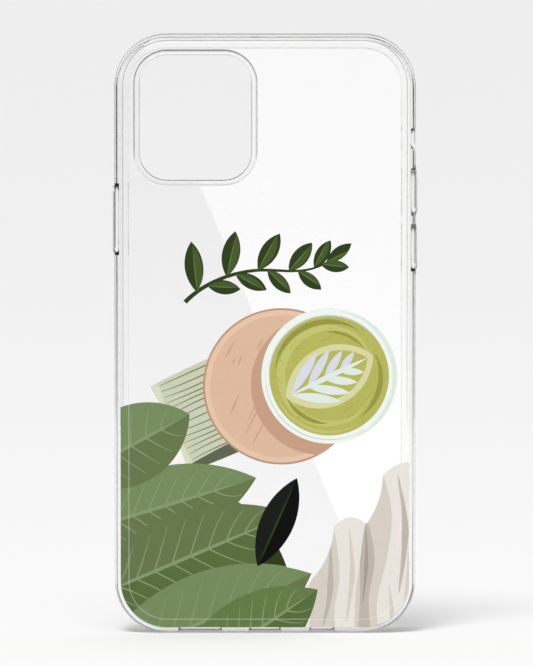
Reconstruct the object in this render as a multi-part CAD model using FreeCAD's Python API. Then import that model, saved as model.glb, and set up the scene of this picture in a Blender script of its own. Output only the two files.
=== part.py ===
"""Clear protective case for a slab phone, standing on its bottom edge.

The case is a hard clear back plate lapped into a soft clear bumper frame. A raised guard rings the
camera opening, three button pads hang in thin webs in the side walls, and an ink picture lies on the
back over a white underprint. +Z runs up the case, the back faces -Y and the phone goes in from +Y.
The origin is under the middle of the case, on the surface that it stands on. All sizes are in mm.
"""

import FreeCAD, Part

import math
import os

from FreeCAD import Vector

# The phone that the case fits.
PHONE_WIDTH = 77.8
PHONE_HEIGHT = 158.0
PHONE_DEPTH = 8.1
PHONE_FIT = 0.1  # room left all round the phone

# Walls.
SIDE_WALL = 1.3
PLATE_THICKNESS = 1.2
LIP_RISE = 1.0  # how far the front lip stands above the glass
LIP_OVERHANG = 0.9  # how far the front lip reaches over the glass
OUTER_CORNER = 14.0
BACK_EDGE_ROUND = 1.5
FRONT_EDGE_ROUND = 1.0
LIP_INNER_ROUND = 0.4

# Seam between the back plate and the bumper: a half lap with a fine V at the outside.
SEAM_INSET = 3.8
LAP = 1.2
LAP_DEPTH = 0.6
SEAM_CHAMFER = 0.15
SEAM_GAP = 0.03  # room left between clear pieces that meet

# Camera opening, its guard ring and the neck that the ring sits in the plate with.
CAMERA_X = -18.6
CAMERA_FROM_TOP = 22.35
CAMERA_OPENING = (29.9, 33.3)
CAMERA_CORNER = 7.4
GUARD_RISE = 1.3
GUARD_RIM = 1.6
GUARD_NECK = 0.8
GUARD_OUTER_ROUND = 0.7
GUARD_INNER_ROUND = 0.45

# Button pads: height of the centre above the base, and length.
POWER_BUTTON = (111.0, 18.0)
VOLUME_UP_BUTTON = (118.3, 11.4)
VOLUME_DOWN_BUTTON = (103.3, 11.4)
PAD_WIDTH = 3.6
PAD_PROUD = 0.45
PAD_ROUND = 0.4
PAD_RELIEF = 0.45  # hollow behind a pad, for the phone's own button
PAD_RIB = (1.2, 0.25)  # width and height of the rib that meets the phone's button
PAD_RIB_SHORTER = 5.0
WEB_GAP = 0.7
WEB_THICKNESS = 0.4
SADDLE_PROUD = 0.15
SADDLE_BEVEL = 0.135
SADDLE_MARGIN = 1.7

# Openings in the base, which run out through the rounded back edge: place across the case, and width.
SPEAKER_OPENING = (-17.4, 11.5)
PORT_OPENING = (0.0, 8.4)
MICROPHONE_OPENING = (15.3, 6.6)
BASE_OPENING_REACH = 8.4  # from the back of the case to the front of these openings
BASE_OPENING_CORNER = 1.6
BASE_OPENING_ROUND = 0.6

# Opening over the mute switch, and the scoop that leads a finger to it from the back.
SWITCH_Z = 132.65
SWITCH_OPENING = (5.2, 5.6)  # along the depth, and up the wall
SWITCH_CORNER = 1.7
SCOOP_DEPTH = 0.7
SCOOP_ROUND = 0.35

# Ink.
INK = 0.08  # thickness of the white underprint, and of the colours on it
INK_GAP = 0.01
PRINT_INSET = 1.6

# Worked out from the sizes above.
POCKET_WIDTH = PHONE_WIDTH + 2 * PHONE_FIT
POCKET_HEIGHT = PHONE_HEIGHT + 2 * PHONE_FIT
POCKET_DEPTH = PHONE_DEPTH + 2 * PHONE_FIT
POCKET_CORNER = OUTER_CORNER - SIDE_WALL
CASE_WIDTH = POCKET_WIDTH + 2 * SIDE_WALL
CASE_HEIGHT = POCKET_HEIGHT + 2 * SIDE_WALL
SHELL_DEPTH = PLATE_THICKNESS + POCKET_DEPTH + LIP_RISE
FRONT = (SHELL_DEPTH + GUARD_RISE) / 2
BACK = FRONT - SHELL_DEPTH
FLOOR = BACK + PLATE_THICKNESS  # the face that the phone's back rests on
MIDDLE_Z = CASE_HEIGHT / 2
WALL_X = CASE_WIDTH / 2
CAMERA_Z = CASE_HEIGHT - CAMERA_FROM_TOP
BUTTON_Y = FLOOR + POCKET_DEPTH / 2
PRINT_BACK = BACK - INK_GAP
PRINT_BASE = PRINT_BACK - INK
PRINT_TOP = PRINT_BASE - INK

# Modelling allowances.
PAST = 2.0  # how far a cutting tool runs past the face that it cuts
PAST_WALL = 0.5  # the same, from a side wall into the pocket
OVERLAP = 0.1  # how far two shapes that join reach into each other
NEAR = 0.01  # room for error when edges are picked by place
SAME = 1e-5  # two places closer than this are one


def at(axis, u, v, w):
    """A point from its two places across an axis and its place along it."""
    return {"x": Vector(w, u, v), "y": Vector(u, w, v), "z": Vector(u, v, w)}[axis]


def rounded_prism(axis, centre, size, radius, span):
    """A rectangle with round corners, across an axis, pulled along it from span[0] to span[1]."""
    low, high = span
    radius = min(radius, size[0] / 2, size[1] / 2)
    across, up = size[0] / 2 - radius, size[1] / 2 - radius
    diagonal = radius * math.sqrt(0.5)
    quarters = []
    for side, top in ((1, 1), (-1, 1), (-1, -1), (1, -1)):
        u, v = centre[0] + side * across, centre[1] + top * up
        ends = [at(axis, u + side * radius, v, low), at(axis, u, v + top * radius, low)]
        if side * top < 0:
            ends.reverse()
        quarters.append((ends[0], at(axis, u + side * diagonal, v + top * diagonal, low), ends[1]))
    edges = []
    for i, (start, middle, end) in enumerate(quarters):
        edges.append(Part.Arc(start, middle, end).toShape())
        following = quarters[(i + 1) % 4][0]
        if end.distanceToPoint(following) > SAME:
            edges.append(Part.LineSegment(end, following).toShape())
    face = Part.Face(Part.Wire(edges))
    return face.extrude(at(axis, 0, 0, high - low))


def case_prism(inset, low, high):
    """The case's outline pulled in by an inset, from one depth to another."""
    size = (CASE_WIDTH - 2 * inset, CASE_HEIGHT - 2 * inset)
    return rounded_prism("y", (0, MIDDLE_Z), size, OUTER_CORNER - inset, (low, high))


def edges_on(solid, axis, place, largest=None):
    """A solid's edges that lie in the plane at a place along an axis, and within a box side."""
    found = []
    for edge in solid.Edges:
        box = edge.BoundBox
        low, high = {"x": (box.XMin, box.XMax), "y": (box.YMin, box.YMax), "z": (box.ZMin, box.ZMax)}[axis]
        if abs(low - place) < SAME and abs(high - place) < SAME:
            if largest is None or max(abs(box.XMin), abs(box.XMax)) <= largest:
                found.append(edge)
    return found


def base_opening(opening):
    """The tool for an opening through the bottom wall."""
    x, width = opening
    depth = BASE_OPENING_REACH + PAST + BASE_OPENING_CORNER
    y = BACK + BASE_OPENING_REACH - depth / 2
    return rounded_prism("z", (x, y), (width, depth), BASE_OPENING_CORNER, (-PAST, SIDE_WALL))


def switch_opening():
    """The tool for the opening over the mute switch and its scoop, in the wall at +X."""
    depth, height = SWITCH_OPENING
    centre = (BUTTON_Y, SWITCH_Z)
    span = (WALL_X - SIDE_WALL - PAST_WALL, WALL_X + PAST)
    hole = rounded_prism("x", centre, SWITCH_OPENING, SWITCH_CORNER, span)
    front = BUTTON_Y + depth / 2
    back = BACK - PAST
    scoop_span = (WALL_X - SCOOP_DEPTH, WALL_X + PAST)
    scoop_centre = ((front + back) / 2, SWITCH_Z)
    scoop = rounded_prism("x", scoop_centre, (front - back, height), SWITCH_CORNER, scoop_span)
    return hole.fuse(scoop).removeSplitter()


def pad_slot(button, side, margin, low, high):
    """A stadium around a button, from one distance outside the case's middle to another, on a side."""
    z, length = button
    span = (low, high) if side > 0 else (-high, -low)
    width = PAD_WIDTH + 2 * margin
    return rounded_prism("x", (BUTTON_Y, z), (width, length + 2 * margin), width / 2, span)


def bumper_frame():
    """The soft frame: side walls, front lip and the back flange that the plate laps into."""
    frame = case_prism(0, BACK, FRONT)
    frame = frame.makeFillet(BACK_EDGE_ROUND, edges_on(frame, "y", BACK))
    frame = frame.makeFillet(FRONT_EDGE_ROUND, edges_on(frame, "y", FRONT))
    frame = frame.cut(case_prism(SIDE_WALL, FLOOR, FLOOR + POCKET_DEPTH))
    frame = frame.cut(case_prism(SIDE_WALL + LIP_OVERHANG, FLOOR + POCKET_DEPTH - OVERLAP, FRONT + PAST))
    window_reach = WALL_X - SIDE_WALL - LIP_OVERHANG + NEAR
    lip_edges = edges_on(frame, "y", FRONT, window_reach)
    lip_edges += edges_on(frame, "y", FLOOR + POCKET_DEPTH, window_reach)
    frame = frame.makeFillet(LIP_INNER_ROUND, lip_edges)
    frame = frame.cut(case_prism(SEAM_INSET - LAP, BACK + LAP_DEPTH, FLOOR + OVERLAP))
    frame = frame.cut(case_prism(SEAM_INSET, BACK - PAST, BACK + LAP_DEPTH + OVERLAP))
    frame = frame.makeChamfer(SEAM_CHAMFER, edges_on(frame, "y", BACK, WALL_X - SEAM_INSET + NEAR))
    frame = frame.fuse(volume_saddle())
    for opening in (SPEAKER_OPENING, PORT_OPENING, MICROPHONE_OPENING):
        frame = frame.cut(base_opening(opening))
    frame = frame.cut(switch_opening())
    frame = frame.makeFillet(SCOOP_ROUND, scoop_rims(frame))
    inner = WALL_X - SIDE_WALL - PAST_WALL
    for button, side in BUTTONS.values():
        frame = frame.cut(pad_slot(button, side, WEB_GAP, inner, WALL_X + PAST))
    return frame.makeFillet(BASE_OPENING_ROUND, base_opening_rims(frame))


def volume_saddle():
    """The low rise in the wall that joins the two volume buttons."""
    top = VOLUME_UP_BUTTON[0] + VOLUME_UP_BUTTON[1] / 2 + SADDLE_MARGIN
    bottom = VOLUME_DOWN_BUTTON[0] - VOLUME_DOWN_BUTTON[1] / 2 - SADDLE_MARGIN
    width = PAD_WIDTH + 2 * SADDLE_MARGIN
    span = (WALL_X - SIDE_WALL / 2, WALL_X + SADDLE_PROUD)
    saddle = rounded_prism("x", (BUTTON_Y, (top + bottom) / 2), (width, top - bottom), width / 2, span)
    return saddle.makeChamfer(SADDLE_BEVEL, edges_on(saddle, "x", span[1]))


def scoop_rims(frame):
    """The edges where the scoop's two level sides meet the outside of the case."""
    rims = []
    for z in (SWITCH_Z - SWITCH_OPENING[1] / 2, SWITCH_Z + SWITCH_OPENING[1] / 2):
        for edge in edges_on(frame, "z", z):
            box = edge.BoundBox
            if box.XMin > WALL_X - SCOOP_DEPTH + NEAR and box.YLength > SCOOP_DEPTH:
                rims.append(edge)
    return rims


def base_opening_rims(frame):
    """The outer edges across the case's base at the sides of its openings."""
    sides = []
    for x, width in (SPEAKER_OPENING, PORT_OPENING, MICROPHONE_OPENING):
        sides += [x - width / 2, x + width / 2]
    rims = []
    for side in sides:
        rims += [edge for edge in edges_on(frame, "x", side) if edge.BoundBox.ZMax < SIDE_WALL - NEAR]
    return rims


def back_plate():
    """The hard clear plate, with its lap step and the hole for the camera guard."""
    lap = BACK + LAP_DEPTH + SEAM_GAP
    outer = case_prism(SEAM_INSET + SEAM_GAP, BACK, lap)
    outer = outer.makeChamfer(SEAM_CHAMFER, edges_on(outer, "y", BACK))
    inner = case_prism(SEAM_INSET - LAP + SEAM_GAP, lap, FLOOR)
    return outer.fuse(inner).removeSplitter().cut(camera_prism(GUARD_NECK, BACK - PAST, FLOOR + PAST))


def camera_prism(margin, low, high):
    """The camera opening's outline with a margin, from one depth to another."""
    size = (CAMERA_OPENING[0] + 2 * margin, CAMERA_OPENING[1] + 2 * margin)
    return rounded_prism("y", (CAMERA_X, CAMERA_Z), size, CAMERA_CORNER + margin, (low, high))


def bounds_camera_opening(edge):
    """True for an edge of the camera opening itself, and false for one further out."""
    width, height = CAMERA_OPENING
    across = max(abs(vertex.X - CAMERA_X) for vertex in edge.Vertexes)
    up = max(abs(vertex.Z - CAMERA_Z) for vertex in edge.Vertexes)
    return across < width / 2 + NEAR and up < height / 2 + NEAR


def camera_guard():
    """The raised ring round the camera opening, with a neck that fills the plate's hole."""
    top, seat = BACK - GUARD_RISE, BACK - SEAM_GAP
    rim = camera_prism(GUARD_RIM, top, seat)
    rim = rim.makeFillet(GUARD_OUTER_ROUND, edges_on(rim, "y", top))
    ring = rim.fuse(camera_prism(GUARD_NECK - SEAM_GAP, seat, FLOOR))
    ring = ring.cut(camera_prism(0, top - PAST, FLOOR + PAST))
    return ring.makeFillet(GUARD_INNER_ROUND, list(filter(bounds_camera_opening, edges_on(ring, "y", top))))


def button_pad(button, side):
    """A pad that stands proud of the wall, with a rib behind it for the phone's button."""
    inner = WALL_X - SIDE_WALL + PAD_RELIEF
    outer = WALL_X + PAD_PROUD
    pad = pad_slot(button, side, 0, inner, outer)
    pad = pad.makeFillet(PAD_ROUND, edges_on(pad, "x", side * outer))
    rib_width, rib_height = PAD_RIB
    span = sorted((side * (inner - rib_height), side * (inner + OVERLAP)))
    size = (rib_width, button[1] - PAD_RIB_SHORTER)
    rib = rounded_prism("x", (BUTTON_Y, button[0]), size, rib_width / 2, span)
    return pad.fuse(rib).removeSplitter()


def button_web(button, side):
    """The thin skin that holds a pad in the wall and flexes as the pad is pressed."""
    inner = WALL_X - SIDE_WALL + PAD_RELIEF
    skin = pad_slot(button, side, WEB_GAP - SEAM_GAP, inner, inner + WEB_THICKNESS)
    return skin.cut(pad_slot(button, side, SEAM_GAP, inner - PAST, inner + WEB_THICKNESS + PAST))


BUTTONS = {
    "power_button": (POWER_BUTTON, -1),
    "volume_up_button": (VOLUME_UP_BUTTON, 1),
    "volume_down_button": (VOLUME_DOWN_BUTTON, 1),
}

# The picture, in places across and up the case. An outline is a list of runs that meet at corners: two
# points make a straight run, and more make a smooth one through them. A leaf is (foot, turn, length, width).
CUP_CENTRE = (17.2, 69.2)
CUP_RADIUS = 18.2
DRINK_RADIUS = 16.0
BOARD_CENTRE = (4.4, 66.4)
BOARD_RADIUS = 21.0
FOAM_LEAF = ((5.6, 63.4), 26.0, 26.0, 16.0)
FRONT_LEAF = ((-52.0, 42.0), 28.0, 36.0, 21.0)
DARK_LEAF = ((-2.0, 18.0), 66.0, 26.0, 9.0)
FOLIAGE_LEAVES = [
    ((-54.0, 26.0), 17.0, 54.0, 21.0),
    ((-50.0, 8.0), 23.0, 62.0, 24.0),
    ((-46.0, -10.0), 24.0, 64.0, 25.0),
    ((-24.0, -14.0), 34.0, 46.0, 20.0),
]
FOLIAGE_GROUND = [
    [(-44.0, 48.0), (-16.0, 40.0), (-2.0, 31.0), (5.0, 20.0), (8.0, 8.0), (8.0, -3.0)],
    [(8.0, -3.0), (-44.0, -3.0)],
    [(-44.0, -3.0), (-44.0, 48.0)],
]
NAPKIN = [
    [(-30.8, 66.3), (-17.6, 72.8), (-3.4, 78.5)],
    [(-3.4, 78.5), (2.6, 67.4), (6.8, 55.7)],
    [(6.8, 55.7), (-6.6, 49.0), (-20.6, 43.5)],
    [(-20.6, 43.5), (-25.0, 55.2), (-30.8, 66.3)],
]
CLOTH = [
    [(44.0, 45.0), (37.0, 45.8), (31.6, 42.4)],
    [(31.6, 42.4), (30.4, 35.6), (27.2, 29.4)],
    [(27.2, 29.4), (22.8, 31.2), (18.4, 28.4)],
    [(18.4, 28.4), (17.2, 22.0), (13.0, 15.0)],
    [(13.0, 15.0), (8.0, 8.0)],
    [(8.0, 8.0), (8.0, -3.0)],
    [(8.0, -3.0), (44.0, -3.0)],
    [(44.0, -3.0), (44.0, 45.0)],
]

# Sprig: the stem runs through these points, and each leaf is (place on the stem, turn, length, width).
STEM = [(-21.4, 89.0), (-12.0, 95.2), (-1.0, 97.6), (9.0, 97.4), (17.0, 100.0)]
STEM_WIDTH = 1.2
STEM_TAPER = 0.6
STEM_STEPS = 8
SPRIG_LEAVES = [
    (0.10, 60, 13.6, 5.0), (0.18, -36, 9.0, 3.8), (0.32, 60, 12.4, 4.8), (0.38, -42, 9.4, 3.8),
    (0.53, 56, 11.4, 4.6), (0.59, -44, 8.8, 3.6), (0.73, 52, 9.8, 4.2), (0.79, -42, 8.0, 3.4),
    (0.90, 42, 8.6, 3.6), (0.95, -30, 7.4, 3.2), (0.985, 6, 8.4, 3.2),
]


def run_edge(points, y):
    """One straight or smooth edge through points at a depth."""
    places = [Vector(x, y, z) for x, z in points]
    if len(places) == 2:
        return Part.LineSegment(*places).toShape()
    curve = Part.BSplineCurve()
    curve.interpolate(places)
    return curve.toShape()


def film(outline, low, high):
    """A film of ink from an outline, from one depth to another."""
    wire = Part.Wire([run_edge(points, low) for points in outline])
    return Part.Face(wire).extrude(Vector(0, high - low, 0))


def disc(centre, radius, low, high):
    """A round film of ink."""
    circle = Part.Circle(Vector(centre[0], low, centre[1]), Vector(0, -1, 0), radius)
    return Part.Face(Part.Wire([circle.toShape()])).extrude(Vector(0, high - low, 0))


def leaf(foot, turn, length, width, low, high):
    """A pointed leaf of two arcs, from its foot, turned from the +X direction by degrees."""
    angle = math.radians(turn)
    along, across = (math.cos(angle), math.sin(angle)), (-math.sin(angle), math.cos(angle))

    def spot(share, side):
        return Vector(
            foot[0] + along[0] * length * share + across[0] * side * width / 2,
            low,
            foot[1] + along[1] * length * share + across[1] * side * width / 2,
        )

    foot_point, tip = spot(0, 0), spot(1, 0)
    arcs = [Part.Arc(foot_point, spot(0.5, 1), tip), Part.Arc(tip, spot(0.5, -1), foot_point)]
    return Part.Face(Part.Wire([arc.toShape() for arc in arcs])).extrude(Vector(0, high - low, 0))


def sprig(low, high):
    """The leafy sprig above the cup: a stem that narrows to its tip, with leaves along it."""
    curve = Part.BSplineCurve()
    curve.interpolate([Vector(x, low, z) for x, z in STEM])
    first, last = curve.FirstParameter, curve.LastParameter
    shares = [step / STEM_STEPS for step in range(STEM_STEPS + 1)]
    sides = {1: [], -1: []}
    for share in shares:
        where = first + (last - first) * share
        place, heading = curve.value(where), curve.tangent(where)[0]
        half = STEM_WIDTH / 2 * (1 - STEM_TAPER * share)
        for side in sides:
            sides[side].append((place.x - side * half * heading.z, place.z + side * half * heading.x))
    right = sides[-1][::-1]
    shape = film([sides[1], [sides[1][-1], right[0]], right, [right[-1], sides[1][0]]], low, high)
    for share, turn, length, width in SPRIG_LEAVES:
        where = first + (last - first) * share
        place, heading = curve.value(where), curve.tangent(where)[0]
        lean = math.degrees(math.atan2(heading.z, heading.x)) + turn
        shape = shape.fuse(leaf((place.x, place.z), lean, length, width, low, high))
    return shape.removeSplitter()


def foliage(low, high):
    """The big leaves at the bottom left, and the ground between them."""
    leaves = [leaf(*sizes, low, high) for sizes in FOLIAGE_LEAVES]
    return film(FOLIAGE_GROUND, low, high).multiFuse(leaves).removeSplitter()


def picture(low, high):
    """The ink films of the picture by name, front ones first, each cut back where others lie in front."""
    layers = {
        "print_foam": leaf(*FOAM_LEAF, low, high),
        "print_drink": disc(CUP_CENTRE, DRINK_RADIUS, low, high),
        "print_cup": disc(CUP_CENTRE, CUP_RADIUS, low, high),
        "print_board": disc(BOARD_CENTRE, BOARD_RADIUS, low, high),
        "print_leaf": leaf(*FRONT_LEAF, low, high),
        "print_dark": leaf(*DARK_LEAF, low, high),
        "print_foliage": foliage(low, high),
        "print_napkin": film(NAPKIN, low, high),
        "print_cloth": film(CLOTH, low, high),
        "print_sprig": sprig(low, high),
    }
    area = case_prism(PRINT_INSET, low, high)
    films, in_front = {}, []
    for name, shape in layers.items():
        films[name] = shape.common(area).cut(in_front) if in_front else shape.common(area)
        in_front.append(shape)
    return films


def white_underprint():
    """The white ink under the whole picture, which shows through the case from inside."""
    whites = list(picture(PRINT_BASE, PRINT_BACK).values())
    return whites[0].multiFuse(whites[1:]).removeSplitter()


def parts():
    """Every node of the case by name."""
    made = {
        "bumper_frame": bumper_frame(),
        "back_plate": back_plate(),
        "camera_guard": camera_guard(),
        "print_white": white_underprint(),
    }
    for name, (button, side) in BUTTONS.items():
        made[name] = button_pad(button, side)
        made[name.replace("_button", "_web")] = button_web(button, side)
    made.update(picture(PRINT_TOP, PRINT_BASE))
    return made


def main():
    """Writes every node to a STEP file of its own."""
    os.makedirs("parts", exist_ok=True)
    for name, shape in parts().items():
        solids = shape.Solids
        whole = solids[0] if len(solids) == 1 else Part.makeCompound(solids)
        whole.exportStep(os.path.join("parts", name + ".step"))
        box = whole.BoundBox
        print(f"{name}: {len(solids)} solids, {whole.Volume:.1f} mm3, valid {whole.isValid()},"
              f" {box.XLength:.1f} x {box.YLength:.2f} x {box.ZLength:.1f}")


main()
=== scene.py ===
"""Looks for the clear phone case: the studio, the clear plastics and the layered ink picture on its back.

The picture is drawn in millimetres, across and up the case as seen from its back. Each CAD film of ink
gives the outline that its colours are clipped to, and each further pass of ink stands a little proud of
the last.
"""

import math
import random

import bpy
import numpy as np
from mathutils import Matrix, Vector
from mathutils.geometry import delaunay_2d_cdt


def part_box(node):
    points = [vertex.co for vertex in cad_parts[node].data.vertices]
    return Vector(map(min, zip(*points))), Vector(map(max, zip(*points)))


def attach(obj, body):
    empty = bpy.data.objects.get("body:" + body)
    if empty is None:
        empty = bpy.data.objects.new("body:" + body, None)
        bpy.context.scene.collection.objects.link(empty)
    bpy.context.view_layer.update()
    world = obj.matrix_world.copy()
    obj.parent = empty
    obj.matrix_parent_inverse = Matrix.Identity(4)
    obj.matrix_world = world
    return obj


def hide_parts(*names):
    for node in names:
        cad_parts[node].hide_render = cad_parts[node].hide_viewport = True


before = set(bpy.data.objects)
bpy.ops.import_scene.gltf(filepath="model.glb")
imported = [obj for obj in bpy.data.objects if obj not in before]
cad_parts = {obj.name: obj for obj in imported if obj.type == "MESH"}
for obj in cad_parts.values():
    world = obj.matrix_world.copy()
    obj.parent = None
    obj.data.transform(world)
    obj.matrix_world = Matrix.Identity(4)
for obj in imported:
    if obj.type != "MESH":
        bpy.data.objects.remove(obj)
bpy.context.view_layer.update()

MM = 0.001

# The case, in millimetres.
CASE_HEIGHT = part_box("bumper_frame")[1][2] / MM
CASE_WIDTH = 80.6
OUTER_CORNER = 14.0
SEAM_INSET = 3.8  # from the case's outline to the seam between its back plate and its bumper

# Clear plastics. Shadow is the share of a lamp's light that passes each face.
SOFT_CLEAR = {
    "ior": 1.50,
    "tint": (0.975, 0.98, 0.975),
    "shadow": 0.64,
    "roughness": (0.0, 0.05),
    "ripple": 0.3,
}
HARD_CLEAR = {
    "ior": 1.58,
    "tint": (0.972, 0.973, 0.97),
    "shadow": 0.75,
    "roughness": (0.0, 0.02),
    "ripple": 0.1,
}
DIFFUSE_SHARE = 0.96  # of diffuse light that passes each face
HAZE_SCALE = 260  # scales of noise are in features a metre
RIPPLE_SCALE = 120
RIPPLE_HEIGHT = 0.00002

# Ink.
INK_GAIN = 0.93  # albedo of the inks against the colours below
INK_SPECULAR = 0.06
INK_ROUGHNESS = (0.42, 0.56)
WHITE_ROUGHNESS = (0.5, 0.62)
SATIN_SCALE = 1500
MOTTLE = (0.965, 1.035)  # least and most of a colour over a printed area
MOTTLE_SCALE = 700
PEEL_SCALE = 4200
PEEL_STRENGTH = 0.25
PEEL_HEIGHT = 0.00001
PASS_HEIGHT = 0.012  # how far each pass of ink stands proud of the one under it
GROOVE_HALF = 0.16  # the ink dips into the seam
GROOVE_DEPTH = 0.08
GROOVE_PAINTED_HIGHLIGHT = 0.2  # painted highlight: the ink over the seam's groove is painted paler, where the seam catches light

# Drawing.
CURVE_STEP = 0.45  # length of one straight piece of a smooth outline
LEAF_STEP = 0.675  # the same, for the edge of a leaf
SAME_DEPTH = 1e-3
SAME_POINT = 1e-5
LEAF_MARGIN = 0.3
LEAF_SHADOW = (0.9, -1.5)
VEIN_WIDTHS = [0.42, 0.3, 0.12]
VEIN_START, VEIN_SPAN = 0.06, 0.76  # where the side veins leave the rib, as shares of its length
VEIN_LEAN = 0.13  # how far along the leaf a side vein runs as it crosses it
VEIN_REACH = 0.82  # how much of the way to the leaf's edge it runs
RIB_WIDTH = 0.95
RIB_SHARE = 0.96
NAPKIN_RIBS = 15
GRAIN_LINES = 17
GRAIN_TURN = -24.0
GRAIN_WIDTHS = [0.08, 0.42, 0.5, 0.3, 0.08]
BUBBLES = 230

COLOURS = {
    "green_light": (116, 139, 93),
    "green_mid": (102, 119, 75),
    "green_olive": (99, 124, 70),
    "green_deep": (88, 109, 60),
    "green_vein": (133, 153, 109),
    "green_night": (45, 59, 24),
    "leaf_dark": (46, 62, 26),
    "leaf_light": (70, 89, 42),
    "leaf_rib": (98, 117, 66),
    "black": (6, 7, 6),
    "black_lit": (22, 26, 18),
    "napkin": (201, 206, 180),
    "napkin_light": (213, 219, 193),
    "napkin_rib": (128, 134, 106),
    "napkin_shade": (96, 101, 80),
    "board": (220, 183, 156),
    "board_light": (228, 195, 169),
    "board_edge": (186, 146, 120),
    "board_grain": (203, 162, 135),
    "board_shade": (198, 157, 131),
    "cup": (236, 243, 236),
    "cup_side": (222, 230, 225),
    "cup_line": (196, 204, 199),
    "tea": (181, 181, 92),
    "tea_light": (193, 194, 112),
    "tea_dark": (150, 151, 68),
    "foam_edge": (214, 213, 162),
    "foam": (223, 233, 225),
    "foam_cool": (214, 217, 226),
    "cloth": (230, 226, 219),
    "cloth_pink": (236, 225, 224),
    "cloth_mid": (213, 205, 194),
    "cloth_shade": (190, 180, 169),
    "cloth_deep": (168, 156, 147),
    "white": (244, 244, 242),
}

# Studio, in metres and degrees.
FLOOR_RADIUS = 60.0
FLOOR_GREY = 0.815
SKY_STRENGTH = 0.60
HORIZON_STRENGTH = 0.86
SKY_FADE = 0.3  # sine of the height at which the sky is down to its own strength
KEY_STRENGTH = 1.55
KEY_SPREAD = 18.0
KEY_DIRECTION = (0.38, 1.0, -2.1)
NEAR_POWER = 5.0
NEAR_SIZE = 0.8
NEAR_PLACE = (0, -0.9, 1.5)
GLOSS_LIGHT = 3.0
GLOSS_OUTLINE = [(0.0285, -0.12), (-0.1155, -5.0), (0.20, -5.0), (0.055, -0.12)]
GLOSS_HEIGHT = 0.001
DARK_RING_Y = 0.6
DARK_RING_RADII = (0.36, 2.0)
DARK_RING_LIGHT = 0.03
RING_SIDES = 64
STRIP_AZIMUTH = 33.0
STRIP_DISTANCE = 0.8
STRIP_SIZE = (0.14, 0.5)
STRIP_LIGHT = 4.0
CAMERA_DISTANCE = 2.5
CAMERA_ELEVATION = 4.0
CAMERA_TARGET = (0.0004, 0, 0.0804)
VIEW_HEIGHT = 0.17867


def linear(colour):
    """A linear colour from an 8-bit one."""
    shares = [value / 255 for value in colour]
    return [s / 12.92 if s <= 0.04045 else ((s + 0.055) / 1.055) ** 2.4 for s in shares]


# ---- Materials ----------------------------------------------------------------------------------


def new_material(name):
    """A new material, with its tree and its Principled node."""
    material = bpy.data.materials.new(name)
    material.use_nodes = True
    return material, material.node_tree, material.node_tree.nodes["Principled BSDF"]


def set_sockets(node, **values):
    """Sets a node's inputs, named in words joined by underscores."""
    for name, value in values.items():
        node.inputs[name.replace("_", " ")].default_value = value


def noise(tree, scale, detail=2.0):
    """Noise in the object's own place, with a scale in features a metre."""
    place = tree.nodes.new("ShaderNodeTexCoord")
    made = tree.nodes.new("ShaderNodeTexNoise")
    set_sockets(made, Scale=scale, Detail=detail)
    tree.links.new(place.outputs["Object"], made.inputs["Vector"])
    return made.outputs["Fac"]


def add_bump(tree, shader, height, strength, distance):
    """Bump from a height."""
    bump = tree.nodes.new("ShaderNodeBump")
    set_sockets(bump, Strength=strength, Distance=distance)
    tree.links.new(height, bump.inputs["Height"])
    tree.links.new(bump.outputs["Normal"], shader.inputs["Normal"])


def vary(tree, value, target, low, high):
    """Lets noise carry an input between two values."""
    spread = tree.nodes.new("ShaderNodeMapRange")
    set_sockets(spread, To_Min=low, To_Max=high)
    tree.links.new(value, spread.inputs["Value"])
    tree.links.new(spread.outputs["Result"], target)


def clear_plastic(name, ior, tint, shadow, roughness, ripple):
    """Clear plastic: it bends what is behind it, and lets light from lamps and walls straight through."""
    material, tree, shader = new_material(name)
    set_sockets(shader, Base_Color=(*tint, 1), IOR=ior, Transmission_Weight=1.0)
    vary(tree, noise(tree, HAZE_SCALE), shader.inputs["Roughness"], *roughness)
    add_bump(tree, shader, noise(tree, RIPPLE_SCALE, 1.0), ripple, RIPPLE_HEIGHT)
    path = tree.nodes.new("ShaderNodeLightPath")
    seen = shader.outputs["BSDF"]
    for ray, share in (("Is Shadow Ray", shadow), ("Is Diffuse Ray", DIFFUSE_SHARE)):
        through = tree.nodes.new("ShaderNodeBsdfTransparent")
        set_sockets(through, Color=(share, share, share, 1))
        mix = tree.nodes.new("ShaderNodeMixShader")
        tree.links.new(path.outputs[ray], mix.inputs[0])
        tree.links.new(seen, mix.inputs[1])
        tree.links.new(through.outputs["BSDF"], mix.inputs[2])
        seen = mix.outputs["Shader"]
    tree.links.new(seen, tree.nodes["Material Output"].inputs["Surface"])
    return material


def satin(tree, shader, roughness):
    """The surface of cured ink: an uneven sheen and a fine orange peel."""
    vary(tree, noise(tree, SATIN_SCALE), shader.inputs["Roughness"], *roughness)
    add_bump(tree, shader, noise(tree, PEEL_SCALE, 1.0), PEEL_STRENGTH, PEEL_HEIGHT)


def ink():
    """Cured ink, coloured by the passes of the picture and a little mottled."""
    material, tree, shader = new_material("ink")
    tone = tree.nodes.new("ShaderNodeAttribute")
    tone.attribute_name = "tone"
    mottle = tree.nodes.new("ShaderNodeMix")
    mottle.data_type, mottle.blend_type = "RGBA", "MULTIPLY"
    mottle.inputs["Factor"].default_value = 1.0
    shade = tree.nodes.new("ShaderNodeMapRange")
    set_sockets(shade, To_Min=MOTTLE[0], To_Max=MOTTLE[1])
    tree.links.new(noise(tree, MOTTLE_SCALE, 3.0), shade.inputs["Value"])
    tree.links.new(tone.outputs["Color"], mottle.inputs["A"])
    tree.links.new(shade.outputs["Result"], mottle.inputs["B"])
    tree.links.new(mottle.outputs["Result"], shader.inputs["Base Color"])
    set_sockets(shader, Specular_IOR_Level=INK_SPECULAR)
    satin(tree, shader, INK_ROUGHNESS)
    return material


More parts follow.
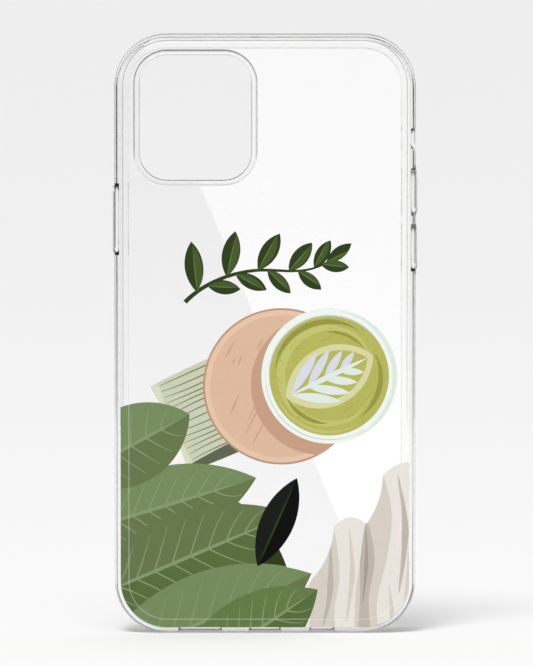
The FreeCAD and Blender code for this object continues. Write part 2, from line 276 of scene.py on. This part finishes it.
def white_ink():
    """The white underprint, which shows from inside the case."""
    material, tree, shader = new_material("white_ink")
    set_sockets(shader, Base_Color=(*linear(COLOURS["white"]), 1))
    satin(tree, shader, WHITE_ROUGHNESS)
    return material


def dress(material, nodes):
    """Gives CAD nodes a material."""
    for node in nodes:
        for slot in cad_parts[node].material_slots:
            slot.material = material


# ---- Outlines -----------------------------------------------------------------------------------


def smooth_run(points):
    """Points along a smooth line through the given ones, without the last."""
    if len(points) == 2:
        return points[:1]
    padded = [points[0], *points, points[-1]]
    made = []
    for i in range(len(points) - 1):
        before, start, end, after = (np.array(p, float) for p in padded[i : i + 4])
        steps = max(2, round(np.linalg.norm(end - start) / CURVE_STEP))
        for t in np.arange(steps) / steps:
            pull = start * 2 + (end - before) * t
            bend = (before * 2 - start * 5 + end * 4 - after) * t**2
            turn = (-before + start * 3 - end * 3 + after) * t**3
            made.append(tuple((pull + bend + turn) / 2))
    return made


def shape(*runs):
    """A closed outline of runs that meet at corners. Each run starts where the last one ended."""
    made, start = [], runs[-1][-1]
    for run in runs:
        made += smooth_run([start, *run])
        start = run[-1]
    return made


def turned(point, turn, centre):
    """A point turned by an angle in degrees, then moved by a centre."""
    a = math.radians(turn)
    x, z = point
    return centre[0] + x * math.cos(a) - z * math.sin(a), centre[1] + x * math.sin(a) + z * math.cos(a)


def on_circle(centre, radius, angle):
    """The point of a circle at an angle in degrees."""
    a = math.radians(angle)
    return centre[0] + radius * math.cos(a), centre[1] + radius * math.sin(a)


def circle(centre, radius, count=96):
    """A round outline."""
    return [on_circle(centre, radius, 360 * i / count) for i in range(count)]


def stroke(points, widths):
    """A brush stroke along a smooth line, whose width runs evenly through the given ones."""
    line = np.array(smooth_run(points) + [points[-1]])
    heading = np.gradient(line, axis=0)
    heading /= np.linalg.norm(heading, axis=1, keepdims=True)
    across = np.column_stack([-heading[:, 1], heading[:, 0]])
    shares = np.linspace(0, 1, len(line))
    half = np.interp(shares, np.linspace(0, 1, len(widths)), widths)[:, None] / 2
    return [tuple(p) for p in [*(line + across * half), *(line - across * half)[::-1]]]


def arc_stroke(centre, radius, start, end, width):
    """A crescent-shaped stroke along a circle, between two angles."""
    angles = np.linspace(start, end, 9)
    points = [on_circle(centre, radius, angle) for angle in angles]
    return stroke(points, [0.05, width * 0.8, width, width * 0.8, 0.05])


def in_leaf(sizes, share, side):
    """A point of a leaf: its share of the way to the tip, and of the way from the rib to the edge."""
    foot, turn, length, width = sizes
    bow = width / (2 * length)
    radius = (0.25 + bow**2) / (2 * bow)
    along = length * share
    across = length * side * (math.sqrt(radius**2 - (share - 0.5) ** 2) - radius + bow)
    return turned((along, across), turn, foot)


def leaf(foot, turn, length, width, sides=(1, -1)):
    """A pointed leaf between two arcs, given as shares of its half width either side of its rib."""
    sizes = foot, turn, length, width
    count = max(4, round(length / LEAF_STEP))
    shares = [i / count for i in range(count + 1)]
    there = [in_leaf(sizes, share, sides[0]) for share in shares]
    back = [in_leaf(sizes, share, sides[1]) for share in shares[-2:0:-1]]
    return there + back


def larger(sizes, by=LEAF_MARGIN):
    """A leaf's sizes with a margin, so that its colour reaches the edge of its film."""
    (x, z), turn, length, width = sizes
    angle = math.radians(turn)
    foot = (x - by * math.cos(angle), z - by * math.sin(angle))
    return foot, turn, length + 2 * by, width + 2 * by


def leaf_tones(sizes, body, lit, vein, veins=7, shadow=None):
    """A big leaf: the shade that it casts, its body, its lit half, its rib and its side veins."""
    tones = []
    if shadow:
        foot = (sizes[0][0] + LEAF_SHADOW[0], sizes[0][1] + LEAF_SHADOW[1])
        tones.append((shadow, leaf(foot, *sizes[1:])))
    whole = larger(sizes)
    tones.append((body, leaf(*whole)))
    tones.append((lit, leaf(*whole, sides=(1, 0))))
    for number in range(veins):
        share = VEIN_START + VEIN_SPAN * (number + 0.5) / veins
        for side in (1, -1):
            line = [in_leaf(sizes, share + VEIN_LEAN * t, side * VEIN_REACH * t) for t in (0, 0.35, 0.7, 1)]
            tones.append((vein, stroke(line, VEIN_WIDTHS)))
    tones.append((vein, leaf(sizes[0], sizes[1], sizes[2] * RIB_SHARE, RIB_WIDTH)))
    return tones


def seam_line(inset):
    """The case's outline pulled in by an inset."""
    half, radius = CASE_WIDTH / 2 - inset, OUTER_CORNER - inset
    middle = CASE_HEIGHT / 2
    made = []
    for quarter in range(4):
        angles = np.radians(np.arange(0, 91, 4.5) + 90 * quarter)
        side = 1 if quarter in (0, 3) else -1
        top = 1 if quarter < 2 else -1
        x = side * (half - radius) + radius * np.cos(angles)
        z = middle + top * (middle - inset - radius) + radius * np.sin(angles)
        made += list(zip(x, z))
    return made


def inset_at(x, z):
    """How far points lie inside the case's outline."""
    across = np.abs(x) - (CASE_WIDTH / 2 - OUTER_CORNER)
    up = np.abs(z - CASE_HEIGHT / 2) - (CASE_HEIGHT / 2 - OUTER_CORNER)
    outside = np.hypot(np.maximum(across, 0), np.maximum(up, 0))
    return OUTER_CORNER - outside - np.minimum(np.maximum(across, up), 0)


# ---- Ink films ----------------------------------------------------------------------------------


def crossings_odd(points, starts, ends):
    """Whether each point lies inside the outline that the segments make."""
    x, z = points[:, :1], points[:, 1:]
    spans = (starts[:, 1] > z) != (ends[:, 1] > z)
    rise = np.where(ends[:, 1] == starts[:, 1], 1, ends[:, 1] - starts[:, 1])
    meet = starts[:, 0] + (z - starts[:, 1]) * (ends[:, 0] - starts[:, 0]) / rise
    return np.count_nonzero(spans & (x < meet), axis=1) % 2 == 1


def film_face(node):
    """The front face of a CAD film of ink: the segments round it, its place along Y, and its back's."""
    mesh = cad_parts[node].data
    points = np.array([v.co for v in mesh.vertices]) / MM
    front, back = points[:, 1].min(), points[:, 1].max()
    seen = {}
    for face in mesh.polygons:
        corners = [tuple(points[i].round(4)) for i in face.vertices]
        if all(abs(corner[1] - front) < SAME_DEPTH for corner in corners):
            for a, b in zip(corners, corners[1:] + corners[:1]):
                edge = frozenset(((a[0], a[2]), (b[0], b[2])))
                seen[edge] = seen.get(edge, 0) + 1
    return [tuple(edge) for edge, count in seen.items() if count == 1 and len(edge) == 2], front, back


def divide(segments, outlines):
    """Cuts a film's face along outlines, into points and triangles."""
    points, edges, places = [], [], {}

    def place(point):
        key = (round(float(point[0]), 4), round(float(point[1]), 4))
        if key not in places:
            places[key] = len(points)
            points.append(Vector(key))
        return places[key]

    for a, b in segments:
        edges.append((place(a), place(b)))
    for outline in outlines:
        ring = [place(point) for point in outline]
        edges += [(a, b) for a, b in zip(ring, ring[1:] + ring[:1]) if a != b]
    cut = delaunay_2d_cdt(points, edges, [], 0, SAME_POINT)
    return np.array([tuple(p) for p in cut[0]]), np.array(cut[2])


def ink_film(name, node, slot, base, tones):
    """Builds the piece that stands for a CAD film of ink: its base colour, then passes of tones on it."""
    segments, front, back = film_face(node)
    grooves = [seam_line(SEAM_INSET + shift) for shift in (-GROOVE_HALF, 0, GROOVE_HALF)]
    outlines = [outline for _, outline in tones]
    points, triangles = divide(segments, outlines + grooves)
    middles = points[triangles].mean(axis=1)
    starts, ends = (np.array([s[i] for s in segments]) for i in (0, 1))
    kept = crossings_odd(middles, starts, ends)
    triangles, middles = triangles[kept], middles[kept]
    levels = np.zeros(len(triangles), int)
    colours = np.tile(linear(COLOURS[base]), (len(triangles), 1))
    for tone, outline in tones:
        ring = np.array(outline)
        covered = crossings_odd(middles, ring, np.roll(ring, -1, axis=0))
        levels[covered] += 1
        colours[covered] = linear(COLOURS[tone])
    # Painted highlight along the seam: the ink over its groove is made paler.
    in_groove = np.abs(inset_at(middles[:, 0], middles[:, 1]) - SEAM_INSET) < GROOVE_HALF
    colours[in_groove] += (1 - colours[in_groove]) * GROOVE_PAINTED_HIGHLIGHT
    dip = np.abs(inset_at(points[:, 0], points[:, 1]) - SEAM_INSET) / GROOVE_HALF
    dips = GROOVE_DEPTH * np.maximum(0, 1 - dip)
    piece = raise_film(name, points, triangles, levels, colours, dips, front, back)
    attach(piece, "case")
    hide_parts(node)


def raise_film(name, points, triangles, levels, colours, dips, front, back):
    """Makes a closed mesh of a divided film, with a step wherever the number of passes changes."""
    places, spots, faces, tones = {}, [], [], []

    def spot(point, level):
        if (point, level) not in places:
            places[point, level] = len(spots)
            depth = back if level < 0 else front + dips[point] - PASS_HEIGHT * level
            spots.append((points[point][0] * MM, depth * MM, points[point][1] * MM))
        return places[point, level]

    sides = {}
    for number, corners in enumerate(triangles):
        faces.append([spot(c, levels[number]) for c in corners])
        tones.append(colours[number])
        faces.append([spot(c, -1) for c in corners[::-1]])
        tones.append(linear(COLOURS["white"]))
        for a, b in zip(corners, np.roll(corners, -1)):
            sides.setdefault((min(a, b), max(a, b)), []).append((number, a, b))
    for owners in sides.values():
        owners.sort(key=lambda owner: -levels[owner[0]])
        number, a, b = owners[0]
        lowest = levels[owners[1][0]] if len(owners) > 1 else -1
        for level in range(lowest, levels[number]):
            faces.append([spot(b, level + 1), spot(a, level + 1), spot(a, level), spot(b, level)])
            tones.append(colours[number])
    mesh = bpy.data.meshes.new(name)
    mesh.from_pydata(spots, [], faces)
    tint = mesh.color_attributes.new("tone", "FLOAT_COLOR", "CORNER")
    corners = np.repeat(np.array(tones) * INK_GAIN, [len(face) for face in faces], axis=0)
    tint.data.foreach_set("color", np.column_stack([corners, np.ones(len(corners))]).ravel())
    mesh.materials.append(INK)
    piece = bpy.data.objects.new(name, mesh)
    bpy.context.collection.objects.link(piece)
    return piece


# ---- The picture --------------------------------------------------------------------------------

# Points are across and up the case. A leaf is its foot, its turn in degrees, its length and its width.
CUP_CENTRE = (17.2, 69.2)
CUP_RADIUS = 18.2
CUP_SHADOW = (-2.2, -2.4)
DRINK_RADIUS = 16.0
BUBBLE_REACH = (9.4, 15.4)
BUBBLE_RADII = (0.09, 0.17)
BOARD_CENTRE = (4.4, 66.4)
BOARD_RADIUS = 21.0
BOARD_RIM = (0.5, 1.9)  # where its two bevels start, in from its edge
FOAM_LEAF = ((5.6, 63.4), 26.0, 26.0, 16.0)
FOAM_RIM = 1.7
FRONT_LEAF = ((-52.0, 42.0), 28.0, 36.0, 21.0)
DARK_LEAF = ((-2.0, 18.0), 66.0, 26.0, 9.0)
FOLIAGE_LEAVES = [
    ((-54.0, 26.0), 17.0, 54.0, 21.0),
    ((-50.0, 8.0), 23.0, 62.0, 24.0),
    ((-46.0, -10.0), 24.0, 64.0, 25.0),
    ((-24.0, -14.0), 34.0, 46.0, 20.0),
]
NAPKIN_CENTRE, NAPKIN_TURN, NAPKIN_SIZE = (-12.0, 61.0), 24.0, (30.0, 25.0)

STEM = [(-21.4, 89.0), (-12.0, 95.2), (-1.0, 97.6), (9.0, 97.4), (17.0, 100.0)]
# A sprig's leaf is its share of the way along the stem, its turn from it, its length and its width.
SPRIG_LEAVES = [
    (0.10, 60, 13.6, 5.0), (0.18, -36, 9.0, 3.8), (0.32, 60, 12.4, 4.8), (0.38, -42, 9.4, 3.8),
    (0.53, 56, 11.4, 4.6), (0.59, -44, 8.8, 3.6), (0.73, 52, 9.8, 4.2), (0.79, -42, 8.0, 3.4),
    (0.90, 42, 8.6, 3.6), (0.95, -30, 7.4, 3.2), (0.985, 6, 8.4, 3.2),
]


def foliage_tones():
    """The big leaves, those further back first, over the dark ground between them."""
    shades = [
        ("green_mid", "green_light"),
        ("green_deep", "green_mid"),
        ("green_mid", "green_light"),
        ("green_deep", "green_olive"),
    ]
    tones = []
    for sizes, (body, lit) in zip(FOLIAGE_LEAVES, shades):
        tones += leaf_tones(sizes, body, lit, "green_vein", veins=9, shadow="green_night")
    return tones


def napkin_spot(along, across):
    """A point of the napkin, from its middle along its ribs and across them."""
    return turned((along, across), NAPKIN_TURN, NAPKIN_CENTRE)


def napkin_tones():
    """A hem, ribs in the weave, and the shaded layer folded under the lower edge."""
    end, edge = NAPKIN_SIZE[0] / 2, NAPKIN_SIZE[1] / 2
    hem = [napkin_spot(-end + 1, edge), napkin_spot(-end + 0.2, 0), napkin_spot(-end + 1, -edge)]
    tones = [("napkin_light", stroke(hem, [2.6, 2.6]))]
    for rib in range(NAPKIN_RIBS):
        across = 2 * edge * ((rib + 0.5) / NAPKIN_RIBS - 0.5)
        sway = 0.5 * math.sin(rib * 0.9)
        line = [napkin_spot(-end + 2.2, across), napkin_spot(-4, across + sway), napkin_spot(end, across)]
        tones.append(("napkin_rib", stroke(line, [0.12, 0.36, 0.36, 0.36])))
    fold = [napkin_spot(-end - 1, -edge + 1.4), napkin_spot(0, -edge + 2.6), napkin_spot(end, -edge + 2.4)]
    under = [napkin_spot(end, -edge - 2), napkin_spot(-end - 1, -edge - 2)]
    return tones + [("napkin_shade", shape(fold[:1], fold[1:], under[:1], under[1:]))]


def board_tones():
    """A round board with a bevelled rim, its grain, and the cup's shade on it."""
    tones = [
        ("board_light", circle(BOARD_CENTRE, BOARD_RADIUS - BOARD_RIM[0])),
        ("board", circle(BOARD_CENTRE, BOARD_RADIUS - BOARD_RIM[1])),
    ]
    draw = random.Random(11)
    for line in range(GRAIN_LINES):
        offset = (BOARD_RADIUS - 3) * (2 * (line + draw.random()) / GRAIN_LINES - 1)
        reach = math.sqrt((BOARD_RADIUS - 2.4) ** 2 - offset**2)
        start, end = sorted((draw.uniform(-1, 1), draw.uniform(-1, 1)))
        run = [(offset + 0.5 * math.sin(t * 2 + line), reach * t) for t in np.linspace(start, end, 5)]
        run = [turned(point, GRAIN_TURN, BOARD_CENTRE) for point in run]
        tones.append(("board_grain", stroke(run, GRAIN_WIDTHS)))
    shade = (CUP_CENTRE[0] + CUP_SHADOW[0], CUP_CENTRE[1] + CUP_SHADOW[1])
    return tones + [("board_shade", circle(shade, CUP_RADIUS + 0.6))]


def cup_tones():
    """The turned lip: a shade on its far side and a fine line round it."""
    middle = (CUP_RADIUS + DRINK_RADIUS) / 2
    return [
        ("cup_side", arc_stroke(CUP_CENTRE, CUP_RADIUS - 0.5, -70, 80, 1.5)),
        ("cup_line", arc_stroke(CUP_CENTRE, middle, 176, 304, 0.24)),
        ("cup_line", arc_stroke(CUP_CENTRE, DRINK_RADIUS + 0.15, 30, 190, 0.5)),
    ]


def tea_tones():
    """Swirls round the drink, and the fine bubbles on it."""
    swirls = [
        ("tea_light", 12.9, 15, 340, 2.3),
        ("tea_dark", 14.6, 58, 172, 1.6),
        ("tea_dark", 11.9, 40, 96, 0.8),
        ("tea_dark", 13.8, -52, 26, 1.4),
        ("tea_dark", 12.8, 208, 268, 1.2),
        ("tea_light", 15.1, 200, 300, 0.9),
    ]
    tones = [(tone, arc_stroke(CUP_CENTRE, *sizes)) for tone, *sizes in swirls]
    draw = random.Random(7)
    for _ in range(BUBBLES):
        centre = on_circle(CUP_CENTRE, draw.uniform(*BUBBLE_REACH), draw.uniform(0, 360))
        tones.append(("tea_dark", circle(centre, draw.uniform(*BUBBLE_RADII), 6)))
    return tones


def foam_tones():
    """A poured leaf: a pale rim, the drink showing between the petals, and the petals."""
    _, turn, length, _ = FOAM_LEAF
    tones = [("tea", leaf(*larger(FOAM_LEAF, -FOAM_RIM)))]
    petals = [(0.06, 33, 13.6, 2.5), (0.25, 34, 11.6, 2.4), (0.44, 32, 9.0, 2.2), (0.62, 28, 6.4, 1.9)]
    for side, tone in ((1, "foam_cool"), (-1, "foam")):
        for share, lean, reach, breadth in petals:
            tones.append((tone, leaf(in_leaf(FOAM_LEAF, share, 0), turn + side * lean, reach, breadth)))
    return tones + [("foam", leaf(in_leaf(FOAM_LEAF, 0.05, 0), turn, length * 0.89, 1.5))]


def cloth_tones():
    """Soft folds that hang from the two top corners of the cloth."""
    broad = [(31.6, 42.4), (34.0, 32.0), (32.6, 20.0), (30.0, 8.0), (31.0, -3.0)]
    hollow = [(27.2, 30.0), (29.4, 20.0), (27.8, 9.0), (28.8, -3.0)]
    return [
        ("cloth_mid", shape(broad, [(24, -3)], [(24.4, 12), (26.4, 22), (27.2, 29.4)], [(30.4, 36)])),
        ("cloth_shade", shape(hollow, [(24.6, -3)], [(25.4, 8), (25.4, 19)])),
        ("cloth_deep", stroke([(27.0, 28.6), (27.2, 19), (26.2, 8)], [0.1, 1.1, 0.1])),
        ("cloth_mid", shape([(17.8, 28.0), (20.0, 16), (18.6, 6), (19.4, -3)], [(12, -3)], [(12, 15)])),
        ("cloth_shade", stroke([(17.6, 24.0), (17.4, 11), (15.6, 2)], [0.2, 1.7, 0.4])),
        ("cloth_mid", stroke([(22.6, 28.2), (23.4, 16), (21.8, 3)], [0.1, 1.5, 0.2])),
        ("cloth_shade", stroke([(35.6, 42.8), (37.6, 28), (36.0, 11)], [0.1, 1.9, 0.3])),
        ("cloth_pink", stroke([(34.0, 40.0), (35.8, 28), (34.4, 14)], [0.1, 1.1, 0.2])),
        ("cloth_mid", stroke([(38.4, 22.0), (38.2, 12), (36.8, 2)], [0.1, 1.4, 0.2])),
        ("cloth_mid", stroke([(33.2, 13.0), (34.0, 6), (33.4, -1)], [0.1, 1.2, 0.3])),
    ]


def dark_tones():
    """A faint sheen on one half of the dark leaf, and its rib."""
    return [
        ("black_lit", leaf(*larger(DARK_LEAF), sides=(1, 0))),
        ("green_night", leaf(DARK_LEAF[0], DARK_LEAF[1], DARK_LEAF[2] * 0.94, 0.6)),
    ]


def sprig_tones():
    """The lit half and the rib of every leaf on the sprig."""
    line = np.array(smooth_run(STEM) + STEM[-1:])
    lengths = np.concatenate([[0], np.cumsum(np.linalg.norm(np.diff(line, axis=0), axis=1))])
    tones = []
    for share, turn, length, width in SPRIG_LEAVES:
        where = share * lengths[-1]
        foot, ahead = (
            tuple(np.interp(place, lengths, line[:, i]) for i in (0, 1)) for place in (where, where + 0.5)
        )
        lean = math.degrees(math.atan2(ahead[1] - foot[1], ahead[0] - foot[0])) + turn
        side = -1 if turn > 0 else 1
        tones.append(("leaf_light", leaf(foot, lean, length * 0.96, width * 0.8, sides=(side, 0))))
        tones.append(("leaf_rib", leaf(foot, lean, length * 0.86, 0.34)))
    return tones


INK = ink()
front_leaf_tones = leaf_tones(FRONT_LEAF, "green_mid", "green_light", "green_vein", veins=6)
PICTURE = [
    ("ink_foliage", "print_foliage", "ink_leaf_green", "green_night", foliage_tones()),
    ("ink_leaf", "print_leaf", "ink_leaf_green", "green_mid", front_leaf_tones),
    ("ink_napkin", "print_napkin", "ink_sage", "napkin", napkin_tones()),
    ("ink_board", "print_board", "ink_peach", "board_edge", board_tones()),
    ("ink_cup", "print_cup", "ink_cup", "cup", cup_tones()),
    ("ink_drink", "print_drink", "ink_tea", "tea", tea_tones()),
    ("ink_foam", "print_foam", "ink_cup", "foam_edge", foam_tones()),
    ("ink_cloth", "print_cloth", "ink_cream", "cloth", cloth_tones()),
    ("ink_dark", "print_dark", "ink_black", "black", dark_tones()),
    ("ink_sprig", "print_sprig", "ink_dark_green", "leaf_dark", sprig_tones()),
]
for entry in PICTURE:
    ink_film(*entry)

dress(white_ink(), ["print_white"])
soft_nodes = ["bumper_frame", "camera_guard"]
soft_nodes += [name + kind for name in ("power", "volume_up", "volume_down") for kind in ("_button", "_web")]
dress(clear_plastic("soft_clear", **SOFT_CLEAR), soft_nodes)
dress(clear_plastic("hard_clear", **HARD_CLEAR), ["back_plate"])


# ---- The studio ---------------------------------------------------------------------------------


def flat_mesh(name, points, faces, material):
    """A flat thing of the studio."""
    mesh = bpy.data.meshes.new(name)
    mesh.from_pydata(points, [], faces)
    mesh.materials.append(material)
    made = bpy.data.objects.new(name, mesh)
    bpy.context.collection.objects.link(made)
    return made


def floor():
    """A wide pale floor."""
    material, _, shader = new_material("floor")
    set_sockets(shader, Base_Color=(FLOOR_GREY, FLOOR_GREY, FLOOR_GREY, 1))
    set_sockets(shader, Roughness=0.9, Specular_IOR_Level=0.0)
    rim = [(x, y, 0) for x, y in circle((0, 0), FLOOR_RADIUS)]
    flat_mesh("studio_floor", rim, [range(len(rim))], material)


def card(name, points, faces, light, seen_through):
    """A card that only shows in reflections, and through the clear plastic if that is asked for."""
    material, tree, shader = new_material(name)
    set_sockets(shader, Base_Color=(0, 0, 0, 1), Roughness=1.0, Specular_IOR_Level=0.0)
    set_sockets(shader, Emission_Color=(1, 1, 1, 1), Emission_Strength=light)
    made = flat_mesh(name, points, faces, material)
    made.visible_camera = made.visible_diffuse = made.visible_shadow = False
    made.visible_transmission = seen_through


def gloss_card():
    """A bright card on the floor in front, whose slanting edge shows in the polished back plate."""
    corners = [(x, y, GLOSS_HEIGHT) for x, y in GLOSS_OUTLINE]
    card("gloss_card", corners, [range(4)], GLOSS_LIGHT, False)


def dark_rings():
    """Dark rings behind and before the case, which draw its rounded edges as fine dark lines."""
    inner, outer = (circle((0, CASE_HEIGHT * MM / 2), radius, RING_SIDES) for radius in DARK_RING_RADII)
    following = [(i + 1) % RING_SIDES for i in range(RING_SIDES)]
    faces = [(i, after, RING_SIDES + after, RING_SIDES + i) for i, after in enumerate(following)]
    for name, y in (("dark_ring_behind", DARK_RING_Y), ("dark_ring_before", -DARK_RING_Y)):
        card(name, [(x, y, z) for x, z in inner + outer], faces, DARK_RING_LIGHT, True)


def strips():
    """Two upright bright strips in front, which shine along the rounded edges."""
    width, height = STRIP_SIZE
    a = math.radians(STRIP_AZIMUTH)
    for name, side in (("strip_left", -1), ("strip_right", 1)):
        middle = Vector((side * math.sin(a), -math.cos(a), 0)) * STRIP_DISTANCE
        half = Vector((math.cos(a), side * math.sin(a), 0)) * width / 2
        foot = [middle - half, middle + half]
        top = [spot + Vector((0, 0, height)) for spot in foot[::-1]]
        card(name, foot + top, [range(4)], STRIP_LIGHT, False)


def sky():
    """Soft light from all round, brighter towards the floor's far edge so that the two meet unseen."""
    made = bpy.data.worlds.new("studio")
    bpy.context.scene.world = made
    made.use_nodes = True
    tree = made.node_tree
    background = tree.nodes["Background"]
    set_sockets(background, Color=(1, 1, 1, 1))
    place = tree.nodes.new("ShaderNodeTexCoord")
    split = tree.nodes.new("ShaderNodeSeparateXYZ")
    fade = tree.nodes.new("ShaderNodeMapRange")
    set_sockets(fade, From_Max=SKY_FADE, To_Min=HORIZON_STRENGTH, To_Max=SKY_STRENGTH)
    tree.links.new(place.outputs["Generated"], split.inputs["Vector"])
    tree.links.new(split.outputs["Z"], fade.inputs["Value"])
    tree.links.new(fade.outputs["Result"], background.inputs["Strength"])


def aim(lamp, direction):
    """Turns a lamp so that it shines along a direction."""
    lamp.rotation_euler = Vector(direction).to_track_quat("-Z", "Y").to_euler()


def add_lamp(name, kind, energy):
    """A lamp of a kind."""
    data = bpy.data.lights.new(name, kind)
    data.energy = energy
    lamp = bpy.data.objects.new(name, data)
    bpy.context.collection.objects.link(lamp)
    return lamp


def key_light():
    """A distant soft key from the front left and above."""
    lamp = add_lamp("key", "SUN", KEY_STRENGTH)
    lamp.data.angle = math.radians(KEY_SPREAD)
    aim(lamp, KEY_DIRECTION)


def near_light():
    """A small lift on the floor near the case."""
    lamp = add_lamp("near", "AREA", NEAR_POWER)
    lamp.data.shape, lamp.data.size = "DISK", NEAR_SIZE
    lamp.location = NEAR_PLACE
    aim(lamp, -Vector(NEAR_PLACE))


def camera():
    """A long lens, nearly level with the case."""
    elevation = math.radians(CAMERA_ELEVATION)
    data = bpy.data.cameras.new("camera")
    made = bpy.data.objects.new("camera", data)
    bpy.context.collection.objects.link(made)
    data.sensor_width = 36
    data.lens = data.sensor_width * CAMERA_DISTANCE / VIEW_HEIGHT
    data.clip_start, data.clip_end = 0.1, 200
    target = Vector(CAMERA_TARGET)
    made.location = target + CAMERA_DISTANCE * Vector((0, -math.cos(elevation), math.sin(elevation)))
    made.rotation_euler = (target - made.location).to_track_quat("-Z", "Y").to_euler()
    bpy.context.scene.camera = made


floor()
sky()
key_light()
near_light()
gloss_card()
dark_rings()
strips()
camera()
bpy.context.scene.view_settings.view_transform = "Standard"
